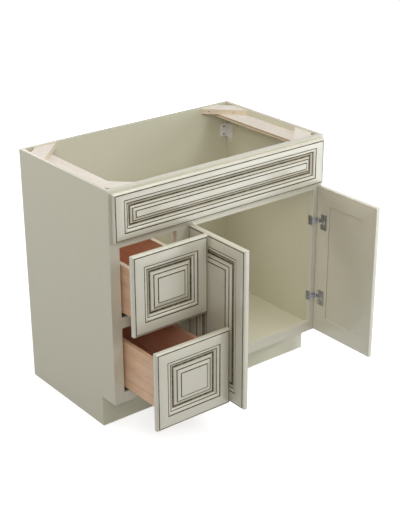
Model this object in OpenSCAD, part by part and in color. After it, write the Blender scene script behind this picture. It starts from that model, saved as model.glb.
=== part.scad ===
// Framed vanity unit: two drawers at the left, two doors at the right, open top.
// Millimetres. X runs along the width, the fronts face -Y, Z is up from the floor.
// The origin is on the back's outer face, at mid width, on the floor.
// Drawers and doors are drawn open, at their rest pose; the joints close them.

/* [Case] */
// Width over the side panels
case_w = 914.4; // [840:1:1000]
// Depth from the wall to the face frame's front
case_d = 533.4; // [530:1:600]
// Height from the floor to the rim
case_h = 876.3; // [850:1:900]
// Thickness of side, back, floor and toe kick panels
panel_t = 12.7; // [12:0.1:16]
// Height of the toe space
toe_h = 114.3; // [100:0.1:120]
// Depth of the toe space behind the face frame's front
toe_d = 76.2; // [60:0.1:90]

/* [Face frame] */
// Thickness of the face frame
frame_t = 19; // [18:0.5:20]
// Width of stiles and rails
frame_w = 38.1; // [36:0.1:44]
// Width of the mullion between drawers and cupboard
mullion_w = 85.3; // [80:0.1:95]
// Clear width of the drawer openings
drawer_opening_w = 225.9; // [210:0.1:240]
// Height of the opening behind the false front
sink_opening_h = 122.1; // [115:0.1:126]

/* [Fronts] */
// Thickness of doors and drawer fronts
front_t = 19; // [19:0.5:21]
// Frame left showing beside the fronts
side_reveal = 9.5; // [8:0.1:12]
// Frame left showing above the false front
top_reveal = 9.5; // [8:0.1:12]
// Frame left showing below the lowest fronts
bottom_reveal = 3.2; // [3:0.1:6]
// Gap between one front and the next
front_gap = 12.7; // [10:0.1:14]
// Gap between the two doors
pair_gap = 3.2; // [3:0.1:5]
// Gap between a closed front and the face frame
seat_gap = 2; // [1.8:0.1:2.4]
// Height of the false front
false_front_h = 165.1; // [160:0.1:175]
// How much higher the upper drawer's front is than its opening
upper_lap = 30.5; // [24:0.1:39]

/* [Front mouldings] */
// Plain width of stiles and rails outside their moulding
member_flat = 44; // [42:0.5:45]
// Plain width of the false front's stiles
false_stile_flat = 40.5; // [36:0.5:45]
// Plain width of the false front's rails
false_rail_flat = 28; // [24:0.5:29]
// Radius of the rounded outer edge
edge_r = 5.5; // [4:0.5:6]
// Width of the moulding on the frame's inner edge
sticking_w = 19.5; // [19:0.5:21]
// Depth of the groove round the panel
groove_depth = 8.8; // [8.5:0.1:9.2]
// Width of the groove's floor
groove_w = 4.5; // [4:0.5:5]
// Width of the panel's lower cove
cove_w = 13.5; // [11:0.5:14]
// Width of the panel's upper ramp
ramp_w = 16; // [14:0.5:17]
// Width of the cove on the false front's panel
false_cove_w = 8.5; // [8:0.5:9]
// Width of the ramp on the false front's panel
false_ramp_w = 12; // [10:0.5:12.5]
// Depth of the step between cove and ramp
step_depth = 4.2; // [3.5:0.1:4.5]
// Hollow behind the panel
back_recess = 3.5; // [3:0.1:4]

/* [Drawer boxes] */
// Length of a drawer box, without its raised front
box_l = 457.2; // [430:1:460]
// Height of a drawer box
box_h = 171.5; // [160:0.5:180]
// Thickness of the box's boards
box_t = 15; // [13:0.5:16]
// Gap between a box and its opening at each side
box_gap = 7.7; // [7:0.1:9]
// Height of a box above its opening's lower edge
box_lift = 15.5; // [15:0.1:18]
// Space under the bottom, inside the boards
bottom_lift = 12.7; // [12.7:0.1:13]
// Thickness of the bottom
bottom_t = 6; // [5:0.5:8]
// How far the upper drawer stands open at rest
upper_open = 92; // [0:1:400]
// How far the lower drawer stands open at rest
lower_open = 207; // [0:1:400]

/* [Drawer slides] */
// Width of a slide's channels
channel_w = 20; // [18:0.5:22]
// Thickness of the slides' steel
slide_t = 1.3; // [1.2:0.1:1.5]
// Running clearance inside the slides
slide_play = 0.5; // [0.4:0.1:0.6]
// Length of the middle members
middle_l = 410; // [380:1:420]

/* [Hinges] */
// Distance of each hinge from the middle of the pair
hinge_spread = 150; // [120:1:180]
// Height of the pair's middle above the door's middle
hinge_rise = 5; // [-10:1:10]
// Distance of the pin from the door's hinge edge
pin_in = 4.5; // [4.3:0.1:5]
// Depth of the pin below the door's back
pin_deep = 4.2; // [4:0.1:4.5]
// Radius of the pin
pin_r = 1.25; // [1.1:0.05:1.4]
// Radius of the knuckles
knuckle_r = 2.5; // [2.3:0.1:2.6]
// Radial clearance between pin and arm
pin_play = 0.05; // [0.03:0.01:0.08]
// Diameter of the hinge cup
cup_d = 26; // [24:0.5:27]
// Distance of the cup's middle from the door's hinge edge
cup_in = 36.5; // [36:0.5:37]
// Depth of the cup
cup_depth = 11; // [10:0.5:11.5]
// Diameter of the well in the cup
well_d = 16; // [12:0.5:20]
// Height of the cup's flange
flange_h = 59; // [50:1:64]
// Width of the cup's flange
flange_w = 30; // [29:0.5:31]
// Height of the arm
arm_h = 16; // [14:0.5:18]
// Height of the plate on the stile
plate_h = 36; // [32:1:40]

/* [Top supports] */
// Thickness of the corner blocks
block_t = 19; // [16:0.5:20]
// Depth of the corner blocks below the rim
block_drop = 3.2; // [2:0.1:5]
// Leg of a rear corner block
rear_leg = 127; // [110:1:140]
// Leg of a front corner block
front_leg = 115; // [100:1:125]
// Length cut off a rear block at its square corner
rear_clip = 42; // [20:1:60]
// Length cut off a front block at its square corner
front_clip = 30; // [20:1:60]
// Diameter of the pilot holes in the corner blocks
pilot_d = 5; // [3:0.1:6]
// Width of the side strips
strip_w = 76.2; // [60:0.1:80]
// Thickness of the side strips
strip_t = 12; // [10:0.5:15]
// Height of the rear bracket's leaves
bracket_h = 49; // [40:1:60]
// Length of the bracket's leaf on the back
bracket_back_l = 32; // [25:1:40]
// Length of the bracket's leaf on the side
bracket_side_l = 36; // [30:1:45]
// Length of the bracket's slotted tongue
bracket_tongue_l = 21; // [18:1:30]

/* [Hidden] */
$fn = 32;

// Case, from left to right and from front to back
left_x = -case_w / 2;
right_x = case_w / 2;
frame_y = -case_d;
case_y = frame_y + frame_t;
back_y = -panel_t;
// Depth of the grooves that hold panels in the sides
dado = panel_t / 2;
inner_left = left_x + panel_t;
inner_right = right_x - panel_t;
// Width of the tongue on a side panel's front edge, and its length
tongue_w = dado;
tongue_l = frame_t / 2;

// Face frame openings
drawer_x0 = left_x + frame_w;
drawer_x1 = drawer_x0 + drawer_opening_w;
mullion_x1 = drawer_x1 + mullion_w;
door_x1 = right_x - frame_w;

// Fronts: the two drawer fronts share the height of the doors beside them
fronts_x0 = left_x + side_reveal;
fronts_x1 = right_x - side_reveal;
fronts_z0 = toe_h + bottom_reveal;
false_z1 = case_h - top_reveal;
false_z0 = false_z1 - false_front_h;
doors_z1 = false_z0 - front_gap;
drawer_front_h = (doors_z1 - fronts_z0 - front_gap) / 2;
upper_front_z0 = fronts_z0 + drawer_front_h + front_gap;

// Openings one above the other, from the rim down
sink_z1 = case_h - frame_w;
sink_z0 = sink_z1 - sink_opening_h;
upper_z1 = sink_z0 - frame_w;
upper_z0 = upper_z1 - drawer_front_h + upper_lap;
lower_z1 = upper_z0 - frame_w;
lower_z0 = toe_h + frame_w;

// Every front reaches over the frame by the same overlay
overlay = frame_w - side_reveal;
doors_x0 = mullion_x1 - overlay;
drawer_front_w = doors_x0 - front_gap - fronts_x0;
door_w = (fronts_x1 - doors_x0 - pair_gap) / 2;
door_h = doors_z1 - fronts_z0;
// Plain widths and panel widths of a front, and of the false front
flats = [member_flat, member_flat];
raise = [cove_w, ramp_w];
false_flats = [false_stile_flat, false_rail_flat];
false_raise = [false_cove_w, false_ramp_w];
// Width of a front's rounded outer edge with the small step beside it
edge_w = edge_r + 2;
// How far the panel's edge goes into the frame's groove, and the groove's depth
tongue_in = 8;
slot_in = 9;
// Depth of the line that runs along the moulding's outer side
quirk = 0.9;

// Angle clips of the false front
clip_w = 20;
clip_l = 15;
clip_t = 2;

// Drawer boxes and slides
// Locking clip behind a drawer's front board: its body and its lever
clip_body_w = 26;
clip_body_l = 48;
lever_l = 14;
box_x0 = drawer_x0 + box_gap;
box_x1 = drawer_x1 - box_gap;
// Front end of a closed box: it meets its raised front's back
box_y0 = frame_y - seat_gap;
box_y1 = box_y0 + box_l;
// Middle of the left channel; the right one is its mirror image
channel_x = box_x0 + box_t + 1.5 + channel_w / 2;
bay_mid_x = (box_x0 + box_x1) / 2;
// Underside of the case member above the opening's lower edge
slide_lift = 1;
channel_h = 11.5;
// Height of the upright leg between stile and box
leg_h = 36;
socket_l = 22;
slide_y0 = frame_y + 5;
slide_y1 = back_y - 4;

// Corner blocks: underside, and depth of their pilot holes
block_z = case_h - block_drop - block_t;
pilot_l = 12;
// Rear bracket: underside of its leaves, and their thickness
bracket_z = case_h - 130.3;
bracket_t = 2.5;
// Width of the bracket's tongue and of the slot in it
tongue_leaf_w = 24;
slot_w = 5;

// Hinges, seen with the pin at the origin and the door shut
pin_y = frame_y - seat_gap - pin_deep;
left_pin_x = doors_x0 + pin_in;
right_pin_x = fronts_x1 - pin_in;
// Distance from pin to the frame's inner edge
pin_reach = overlay - pin_in;
// Depth of the pocket for the arm, in the door's back
pocket_depth = 8.8;
pocket_h = arm_h + 1;
door_leaf_t = 1.2;
fixed_knuckle_h = 7;
door_knuckle_h = 4;
knuckle_gap = 0.4;
arm_t = 1.8;
plate_t = 1.6;
flange_t = 1.2;
// Heights of the two hinges on a door, from its lower edge
hinge_heights = [for (side = [-1, 1]) door_h / 2 + hinge_rise + side * hinge_spread];

// A straight block from its lowest to its highest corner
module block(low, high) {
    translate(low)
        cube(high - low);
}

// Points on an arc, for the outlines of mouldings
function arc(cx, cy, r, a0, a1, n = 5) =
    [for (i = [0:n]) let (a = a0 + (a1 - a0) * i / n) [cx + r * cos(a), cy + r * sin(a)]];

// Outline of a stile or rail: X in from the outer edge, Y back from the front.
// Rounded edge, plain face, sunk line, bead, second line, slope and back
function member_outline(flat) =
    let (w = flat + sticking_w)
    concat(
        arc(edge_r, edge_r + 0.8, edge_r, 180, 270),
        [[edge_w - 0.2, 0.8], [edge_w, 0], [flat - 1.8, 0], [flat - 1.2, quirk], [flat + 1, quirk]],
        arc(flat + 3.2, 7.35, 7, 256, 333, 6),
        [[flat + 9.8, 4.7], [flat + 12, 4.8], [flat + 16.6, 8.2], [w, 8.2]],
        [[w, groove_depth], [w - slot_in, groove_depth]],
        [[w - slot_in, front_t - back_recess], [w, front_t - back_recess]],
        [[w, front_t]],
        arc(1.5, front_t - 1.5, 1.5, 90, 180, 4));

// Half of a panel's outline: X in from the frame's inner edge, Y from the front.
// Groove, cove, step, ramp and the small step up to the field
function panel_half(cove, ramp) =
    let (foot = groove_w + cove)
    concat(
        [[-tongue_in, groove_depth], [groove_w, groove_depth]],
        [for (i = [1:5]) let (t = i / 5)
            [groove_w + cove * t, groove_depth - (groove_depth - step_depth) * (1 - cos(90 * t))]],
        [[foot + 0.3, step_depth - 0.8], [foot + ramp * 0.5, 1.9], [foot + ramp - 0.7, quirk]],
        [[foot + ramp, 0]]);

// Outline of a panel over its whole width w between the frame members
function panel_outline(w, cove, ramp) =
    let (half = panel_half(cove, ramp), n = len(half) - 1)
    concat(
        half,
        [for (i = [n:-1:0]) [w - half[i][0], half[i][1]]],
        [[w + tongue_in, front_t - back_recess], [-tongue_in, front_t - back_recess]]);

// One corner's mitre, from the outer corner to the frame's inner corner: it
// crosses edge and moulding at 45 degrees
function mitre(flats) =
    [[0, 0], [edge_w, edge_w], [flats[0] - 2, flats[1] - 2],
        [flats[0] + sticking_w, flats[1] + sticking_w]];

// Front at its place: the lower left corner of its front face is the origin,
// Y runs back through its thickness. flats holds the plain widths of stiles
// and rails; raise holds the widths of the panel's cove and ramp
module stile_pair(w, h, flats) {
    low = mitre(flats);
    for (side = [0, 1])
        translate([side * w, 0, 0])
            mirror([side, 0, 0])
                intersection() {
                    linear_extrude(h)
                        polygon(member_outline(flats[0]));
                    rotate([90, 0, 0])
                        translate([0, 0, -front_t - 1])
                            linear_extrude(front_t + 2)
                                polygon(concat(low, [for (i = [3:-1:0]) [low[i][0], h - low[i][1]]]));
                }
}

// The two rails of a front, mitred between the stiles
module rail_pair(w, h, flats) {
    low = mitre(flats);
    for (side = [0, 1])
        translate([0, 0, side * h])
            mirror([0, 0, side])
                intersection() {
                    rotate([90, 0, 90])
                        linear_extrude(w)
                            mirror([1, -1, 0])
                                polygon(member_outline(flats[1]));
                    rotate([90, 0, 0])
                        translate([0, 0, -front_t - 1])
                            linear_extrude(front_t + 2)
                                polygon(concat(low, [for (i = [3:-1:0]) [w - low[i][0], low[i][1]]]));
                }
}

// The raised panel of a front: two crossed mouldings meet in mitred corners
module raised_panel(w, h, flats, raise) {
    inner = [flats[0] + sticking_w, flats[1] + sticking_w];
    inner_w = w - 2 * inner[0];
    inner_h = h - 2 * inner[1];
    translate([inner[0], 0, inner[1]])
        intersection() {
            translate([0, 0, -tongue_in])
                linear_extrude(inner_h + 2 * tongue_in)
                    polygon(panel_outline(inner_w, raise[0], raise[1]));
            translate([-tongue_in, 0, 0])
                rotate([90, 0, 90])
                    linear_extrude(inner_w + 2 * tongue_in)
                        mirror([1, -1, 0])
                            polygon(panel_outline(inner_h, raise[0], raise[1]));
        }
}

// Places a drawer's own pieces: closed, then pulled out by its rest opening
module at_upper_drawer() {
    translate([0, -upper_open, 0])
        children();
}

module at_lower_drawer() {
    translate([0, -lower_open, 0])
        children();
}

module at_upper_front() {
    at_upper_drawer()
        translate([fronts_x0, frame_y - seat_gap - front_t, upper_front_z0])
            children();
}

module at_lower_front() {
    at_lower_drawer()
        translate([fronts_x0, frame_y - seat_gap - front_t, fronts_z0])
            children();
}

// The false front sits tight on the face frame
module at_false_front() {
    translate([fronts_x0, frame_y - front_t, false_z0])
        children();
}

// Left door: drawn shut from its hinge edge, then opened by a quarter turn
module at_left_door() {
    translate([left_pin_x, pin_y, fronts_z0])
        rotate([0, 0, -90])
            translate([-pin_in, pin_deep - front_t, 0])
                children();
}

// Right door: the left one's mirror image
module at_right_door() {
    translate([right_pin_x, pin_y, fronts_z0])
        mirror([1, 0, 0])
            rotate([0, 0, -90])
                translate([-pin_in, pin_deep - front_t, 0])
                    children();
}

// Side panel with its toe notch, floor groove, back rabbet and front tongue.
// The tongue starts above the floor groove
module side_panel() {
    difference() {
        block([0, case_y - tongue_l, 0], [panel_t, 0, case_h]);
        block([-1, case_y - tongue_l - 1, -1], [panel_t + 1, frame_y + toe_d + panel_t, toe_h]);
        block([-1, case_y - tongue_l - 1, -1], [panel_t - tongue_w, case_y, case_h + 1]);
        block([-1, case_y - tongue_l - 1, -1], [panel_t + 1, case_y, toe_h + panel_t]);
        block([panel_t - dado, case_y, toe_h], [panel_t + 1, back_y, toe_h + panel_t]);
        block([panel_t - dado, back_y, -1], [panel_t + 1, 1, case_h + 1]);
    }
}

module left_side_panel() {
    color("darkkhaki")
        translate([left_x, 0, 0])
            side_panel();
}

module right_side_panel() {
    color("darkkhaki")
        translate([right_x, 0, 0])
            mirror([1, 0, 0])
                side_panel();
}

module back_panel() {
    color("tan")
        block([inner_left - dado, back_y, 0], [inner_right + dado, 0, case_h]);
}

module floor_panel() {
    color("tan")
        block([inner_left - dado, case_y, toe_h], [inner_right + dado, back_y, toe_h + panel_t]);
}

module toe_kick_board() {
    color("darkkhaki")
        block([left_x, frame_y + toe_d, 0], [right_x, frame_y + toe_d + panel_t, toe_h]);
}

// Stile of the face frame, grooved at the back for its side panel's tongue
module outer_stile() {
    difference() {
        block([0, frame_y, toe_h], [frame_w, case_y, case_h]);
        block([panel_t - tongue_w, case_y - tongue_l, toe_h + panel_t], [panel_t, case_y + 1, case_h + 1]);
    }
}

module left_stile() {
    color("beige")
        translate([left_x, 0, 0])
            outer_stile();
}

module right_stile() {
    color("beige")
        translate([right_x, 0, 0])
            mirror([1, 0, 0])
                outer_stile();
}

// A rail of the face frame between two upright pieces
module frame_rail(x0, x1, z0) {
    color("beige")
        block([x0, frame_y, z0], [x1, case_y, z0 + frame_w]);
}

module mullion() {
    color("beige")
        block([drawer_x1, frame_y, lower_z0], [mullion_x1, case_y, upper_z1]);
}

module top_rail() {
    frame_rail(drawer_x0, door_x1, sink_z1);
}

module sink_rail() {
    frame_rail(drawer_x0, door_x1, upper_z1);
}

module drawer_rail() {
    frame_rail(drawer_x0, drawer_x1, lower_z1);
}

module bottom_rail() {
    frame_rail(drawer_x0, door_x1, toe_h);
}

// Corner block: a triangle without its square corner, X and Y along the walls.
// Two pilot holes are drilled in its long side
module corner_block(leg, clip) {
    difference() {
        linear_extrude(block_t)
            polygon([[clip, 0], [leg, 0], [0, leg], [0, clip]]);
        for (along = [0.18, 0.69])
            translate([leg * (1 - along), leg * along, block_t / 2])
                rotate([90, 0, -45])
                    translate([0, 0, -1])
                        cylinder(h = pilot_l + 1, d = pilot_d);
    }
}

module rear_left_block() {
    color("burlywood")
        translate([inner_left, back_y, block_z])
            mirror([0, 1, 0])
                corner_block(rear_leg, rear_clip);
}

module rear_right_block() {
    color("burlywood")
        translate([inner_right, back_y, block_z])
            mirror([1, 0, 0])
                mirror([0, 1, 0])
                    corner_block(rear_leg, rear_clip);
}

module front_left_block() {
    color("burlywood")
        translate([inner_left, case_y, block_z])
            corner_block(front_leg, front_clip);
}

module front_right_block() {
    color("burlywood")
        translate([inner_right, case_y, block_z])
            mirror([1, 0, 0])
                corner_block(front_leg, front_clip);
}

// Plywood strip along a side, right under the corner blocks
module side_strip() {
    color("burlywood")
        block([0, case_y, block_z - strip_t], [strip_w, back_y, block_z]);
}

module left_strip() {
    translate([inner_left, 0, 0])
        side_strip();
}

module right_strip() {
    translate([inner_right, 0, 0])
        mirror([1, 0, 0])
            side_strip();
}

// Moulded bracket in the rear right corner: a leaf on the back with two screw
// holes and a cut corner, a leaf on the side, and a slotted tongue below it
module bracket_leaves() {
    translate([0, back_y, bracket_z])
        rotate([90, 0, 0])
            linear_extrude(bracket_t)
                polygon([[-bracket_back_l, 0], [0, 0], [0, bracket_h],
                    [6 - bracket_back_l, bracket_h], [-bracket_back_l, bracket_h - 6]]);
    block([-bracket_t, back_y - bracket_side_l, bracket_z], [0, back_y, bracket_z + bracket_h]);
    block([-12, back_y - 12, bracket_z], [0, back_y, bracket_z + bracket_t]);
}

module bracket_tongue() {
    tongue_y = back_y - bracket_side_l + tongue_leaf_w / 2;
    low = bracket_z - bracket_tongue_l;
    difference() {
        union() {
            block([-bracket_t, tongue_y - tongue_leaf_w / 2, low + tongue_leaf_w / 2],
                [0, tongue_y + tongue_leaf_w / 2, bracket_z]);
            translate([-bracket_t, tongue_y, low + tongue_leaf_w / 2])
                rotate([0, 90, 0])
                    cylinder(h = bracket_t, d = tongue_leaf_w);
        }
        for (y = [tongue_y - slot_w, tongue_y + slot_w])
            block([-bracket_t - 1, y - slot_w / 2, low + 7], [1, y + slot_w / 2, bracket_z - 4]);
    }
}

module corner_bracket() {
    color("gainsboro")
        translate([inner_right, 0, 0])
            difference() {
                union() {
                    bracket_leaves();
                    bracket_tongue();
                }
                for (z = [bracket_z + bracket_h * 0.15, bracket_z + bracket_h * 0.77])
                    translate([-bracket_back_l / 2 + 1, back_y + 1, z])
                        rotate([90, 0, 0])
                            cylinder(h = bracket_t + 2, d = 5);
            }
}

module false_front_stiles() {
    color("ivory")
        at_false_front()
            stile_pair(fronts_x1 - fronts_x0, false_front_h, false_flats);
}

module false_front_rails() {
    color("ivory")
        at_false_front()
            rail_pair(fronts_x1 - fronts_x0, false_front_h, false_flats);
}

module false_front_panel() {
    color("ivory")
        at_false_front()
            raised_panel(fronts_x1 - fronts_x0, false_front_h, false_flats, false_raise);
}

// Angle clips in the sink opening: one leg lies under the top rail, the other
// on the back of the false front's upper rail
module false_front_clips() {
    back_z0 = false_z1 - false_rail_flat - sticking_w;
    for (i = [1:4])
        color("silver")
            translate([left_x + case_w * i / 5 - clip_w / 2, frame_y, 0]) {
                block([0, 0, sink_z1 - clip_t], [clip_w, clip_l, sink_z1]);
                block([0, 0, back_z0], [clip_w, clip_t, sink_z1 - clip_t]);
            }
}

// Case member of one slide: channel, floor and the leg beside the box
module case_slide(z0) {
    z = z0 + slide_lift;
    x0 = channel_x - channel_w / 2;
    x1 = channel_x + channel_w / 2;
    block([drawer_x0, slide_y0, z], [x1, slide_y1, z + slide_t]);
    block([drawer_x0, slide_y0, z], [drawer_x0 + slide_t, slide_y1, z + leg_h]);
    for (x = [x0, x1 - slide_t])
        block([x, slide_y0 + 20, z], [x + slide_t, slide_y1, z + channel_h]);
    block([x0, slide_y0 + 20, z + channel_h - slide_t], [x0 + 4, slide_y1, z + channel_h]);
    block([x1 - 4, slide_y0 + 20, z + channel_h - slide_t], [x1, slide_y1, z + channel_h]);
}

// Middle member of one slide: a head in each channel, joined by a web
module middle_slide(z0) {
    head_w = channel_w - 2 * slide_t - 2 * slide_play;
    low = z0 + slide_lift + slide_t + slide_play;
    low_top = z0 + slide_lift + channel_h - slide_t - slide_play;
    high = z0 + box_lift + bottom_lift - slide_t - slide_play;
    high_bottom = z0 + box_lift + 0.5 + slide_t + slide_play;
    translate([channel_x, box_y0 + 32, 0]) {
        block([-head_w / 2, 0, low], [head_w / 2, middle_l, low_top]);
        block([-3, 0, low_top], [3, middle_l, high_bottom]);
        block([-head_w / 2, 0, high_bottom], [head_w / 2, middle_l, high]);
    }
}

// Drawer member of one slide: a channel turned down under the box's bottom
module drawer_slide(z0) {
    low = z0 + box_lift + 0.5;
    high = z0 + box_lift + bottom_lift;
    x0 = channel_x - channel_w / 2;
    x1 = channel_x + channel_w / 2;
    y0 = box_y0 + box_t + 3;
    block([x0, y0, high - slide_t], [x1, box_y1, high]);
    for (x = [x0, x1 - slide_t])
        block([x, y0, low], [x + slide_t, box_y1, high]);
    block([x0, y0, low], [x0 + 4, box_y1, low + slide_t]);
    block([x1 - 4, y0, low], [x1, box_y1, low + slide_t]);
}

// Socket that holds the rear end of a slide on the back panel
module slide_socket(z0) {
    z = z0 + slide_lift;
    difference() {
        block([drawer_x0 - 4, back_y - socket_l, z - 5], [channel_x + channel_w / 2 + 3, back_y, z + leg_h + 4]);
        block([drawer_x0, back_y - socket_l - 1, z], [channel_x + channel_w / 2 + 4, slide_y1, z + leg_h]);
        block([drawer_x0 + 6, back_y - socket_l - 1, z + slide_t], [channel_x + channel_w, slide_y1, z + leg_h + 5]);
    }
}

// Locking clip between a drawer member's front end and the box's front board
module locking_clip(z0) {
    translate([channel_x + channel_w / 2, box_y0 + box_t, z0 + box_lift + bottom_lift]) {
        block([0, 0, -9], [clip_body_w, clip_body_l, 0]);
        block([4, clip_body_l, -7], [14, clip_body_l + lever_l, -2]);
    }
}

// Draws a left-hand piece and its mirror image at the bay's right
module both_sides() {
    children();
    translate([2 * bay_mid_x, 0, 0])
        mirror([1, 0, 0])
            children();
}

module upper_case_slides() {
    color("silver")
        both_sides()
            case_slide(upper_z0);
}

module lower_case_slides() {
    color("silver")
        both_sides()
            case_slide(lower_z0);
}

module upper_slide_sockets() {
    color("gainsboro")
        both_sides()
            slide_socket(upper_z0);
}

module lower_slide_sockets() {
    color("gainsboro")
        both_sides()
            slide_socket(lower_z0);
}

// The middle members move half as far as their drawers
module upper_middle_slides() {
    color("silver")
        translate([0, -upper_open / 2, 0])
            both_sides()
                middle_slide(upper_z0);
}

module lower_middle_slides() {
    color("silver")
        translate([0, -lower_open / 2, 0])
            both_sides()
                middle_slide(lower_z0);
}

// Box side with its groove for the bottom
module box_side(z0) {
    z = z0 + box_lift;
    difference() {
        block([box_x0, box_y0, z], [box_x0 + box_t, box_y1, z + box_h]);
        block([box_x0 + box_t / 2, box_y0 - 1, z + bottom_lift], [box_x0 + box_t + 1, box_y1 + 1, z + bottom_lift + bottom_t]);
    }
}

module box_other_side(z0) {
    translate([2 * bay_mid_x, 0, 0])
        mirror([1, 0, 0])
            box_side(z0);
}

// Front board, grooved for the bottom like the sides
module box_front(z0) {
    z = z0 + box_lift;
    difference() {
        block([box_x0 + box_t, box_y0, z], [box_x1 - box_t, box_y0 + box_t, z + box_h]);
        block([box_x0, box_y0 + box_t / 2, z + bottom_lift], [box_x1, box_y0 + box_t + 1, z + bottom_lift + bottom_t]);
    }
}

// Back board, standing on the bottom
module box_back(z0) {
    z = z0 + box_lift;
    block([box_x0 + box_t, box_y1 - box_t, z + bottom_lift + bottom_t], [box_x1 - box_t, box_y1, z + box_h]);
}

module box_bottom(z0) {
    z = z0 + box_lift + bottom_lift;
    block([box_x0 + box_t / 2, box_y0 + box_t / 2, z], [box_x1 - box_t / 2, box_y1, z + bottom_t]);
}

module upper_front_stiles() {
    color("ivory")
        at_upper_front()
            stile_pair(drawer_front_w, drawer_front_h, flats);
}

module upper_front_rails() {
    color("ivory")
        at_upper_front()
            rail_pair(drawer_front_w, drawer_front_h, flats);
}

module upper_front_panel() {
    color("ivory")
        at_upper_front()
            raised_panel(drawer_front_w, drawer_front_h, flats, raise);
}

module upper_box_left() {
    color("tan")
        at_upper_drawer()
            box_side(upper_z0);
}

module upper_box_right() {
    color("tan")
        at_upper_drawer()
            box_other_side(upper_z0);
}

module upper_box_front() {
    color("tan")
        at_upper_drawer()
            box_front(upper_z0);
}

module upper_box_back() {
    color("tan")
        at_upper_drawer()
            box_back(upper_z0);
}

module upper_box_bottom() {
    color("sienna")
        at_upper_drawer()
            box_bottom(upper_z0);
}

module upper_drawer_slides() {
    color("silver")
        at_upper_drawer()
            both_sides()
                drawer_slide(upper_z0);
}

module upper_clips() {
    color("gray")
        at_upper_drawer()
            both_sides()
                locking_clip(upper_z0);
}

module lower_front_stiles() {
    color("ivory")
        at_lower_front()
            stile_pair(drawer_front_w, drawer_front_h, flats);
}

module lower_front_rails() {
    color("ivory")
        at_lower_front()
            rail_pair(drawer_front_w, drawer_front_h, flats);
}

module lower_front_panel() {
    color("ivory")
        at_lower_front()
            raised_panel(drawer_front_w, drawer_front_h, flats, raise);
}

module lower_box_left() {
    color("tan")
        at_lower_drawer()
            box_side(lower_z0);
}

module lower_box_right() {
    color("tan")
        at_lower_drawer()
            box_other_side(lower_z0);
}

module lower_box_front() {
    color("tan")
        at_lower_drawer()
            box_front(lower_z0);
}

module lower_box_back() {
    color("tan")
        at_lower_drawer()
            box_back(lower_z0);
}

module lower_box_bottom() {
    color("sienna")
        at_lower_drawer()
            box_bottom(lower_z0);
}

module lower_drawer_slides() {
    color("silver")
        at_lower_drawer()
            both_sides()
                drawer_slide(lower_z0);
}

module lower_clips() {
    color("gray")
        at_lower_drawer()
            both_sides()
                locking_clip(lower_z0);
}

// Door stiles, the first bored for two cups and pocketed for two arms
module door_stiles() {
    difference() {
        stile_pair(door_w, door_h, flats);
        for (z = hinge_heights) {
            translate([cup_in, front_t - cup_depth, z])
                rotate([-90, 0, 0])
                    cylinder(h = cup_depth + 1, d = cup_d);
            block([-1, front_t - pocket_depth, z - pocket_h / 2], [cup_in, front_t + 1, z + pocket_h / 2]);
        }
    }
}

// Cup, flange, leaf and pin of one hinge, on the door
module hinge_cup() {
    difference() {
        union() {
            rotate([-90, 0, 0])
                translate([cup_in, 0, front_t - cup_depth])
                    cylinder(h = cup_depth, d = cup_d);
            block([cup_in - flange_w / 2, front_t, -flange_h / 2], [cup_in + flange_w / 2, front_t + flange_t, flange_h / 2]);
            block([pin_in - 2, front_t - pocket_depth, -pocket_h / 2 + 0.3], [cup_in, front_t - pocket_depth + door_leaf_t, pocket_h / 2 - 0.3]);
        }
        rotate([-90, 0, 0])
            translate([cup_in, 0, front_t - cup_depth + 1])
                cylinder(h = cup_depth + 2, d = well_d);
        block([0, front_t - pocket_depth + door_leaf_t, -pocket_h / 2], [cup_in, front_t + flange_t + 1, pocket_h / 2]);
    }
    pin_top = fixed_knuckle_h / 2 + knuckle_gap + door_knuckle_h;
    for (side = [0, 1])
        mirror([0, 0, side])
            translate([pin_in, front_t - pin_deep, fixed_knuckle_h / 2 + knuckle_gap]) {
                cylinder(h = door_knuckle_h, r = knuckle_r);
                block([-2, pin_deep - pocket_depth, 0], [2, 0, door_knuckle_h]);
            }
    translate([pin_in, front_t - pin_deep, -pin_top])
        cylinder(h = 2 * pin_top, r = pin_r);
}

module door_cups() {
    for (z = hinge_heights)
        translate([0, 0, z])
            hinge_cup();
}

// Plate and arm of one hinge, on the frame; the pin's axis is the origin, X
// runs along the shut door and Y back to the frame
module hinge_arm() {
    face_y = frame_y - pin_y;
    difference() {
        union() {
            block([pin_reach, face_y, -plate_h / 2], [pin_reach + plate_t, face_y + frame_t, plate_h / 2]);
            translate([0, 0, -arm_h / 2])
                linear_extrude(arm_h)
                    polygon([[knuckle_r + 1.2, -0.6], [pin_reach + plate_t, face_y - 2.1],
                        [pin_reach + plate_t, face_y + 3], [pin_reach, face_y + 3],
                        [pin_reach, face_y - 0.3], [knuckle_r + 1.2, arm_t - 0.6]]);
            translate([0, 0, -fixed_knuckle_h / 2])
                linear_extrude(fixed_knuckle_h)
                    polygon([[0, -0.9], [knuckle_r + 2, -0.5], [knuckle_r + 2, arm_t - 0.4], [0, 0.9]]);
            translate([0, 0, -fixed_knuckle_h / 2])
                cylinder(h = fixed_knuckle_h, r = knuckle_r);
        }
        translate([0, 0, -arm_h])
            cylinder(h = 2 * arm_h, r = pin_r + pin_play);
    }
}

module left_door_stiles() {
    color("ivory")
        at_left_door()
            door_stiles();
}

module left_door_rails() {
    color("ivory")
        at_left_door()
            rail_pair(door_w, door_h, flats);
}

module left_door_panel() {
    color("ivory")
        at_left_door()
            raised_panel(door_w, door_h, flats, raise);
}

module left_door_cups() {
    color("dimgray")
        at_left_door()
            door_cups();
}

module right_door_stiles() {
    color("ivory")
        at_right_door()
            door_stiles();
}

module right_door_rails() {
    color("ivory")
        at_right_door()
            rail_pair(door_w, door_h, flats);
}

module right_door_panel() {
    color("ivory")
        at_right_door()
            raised_panel(door_w, door_h, flats, raise);
}

module right_door_cups() {
    color("dimgray")
        at_right_door()
            door_cups();
}

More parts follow.
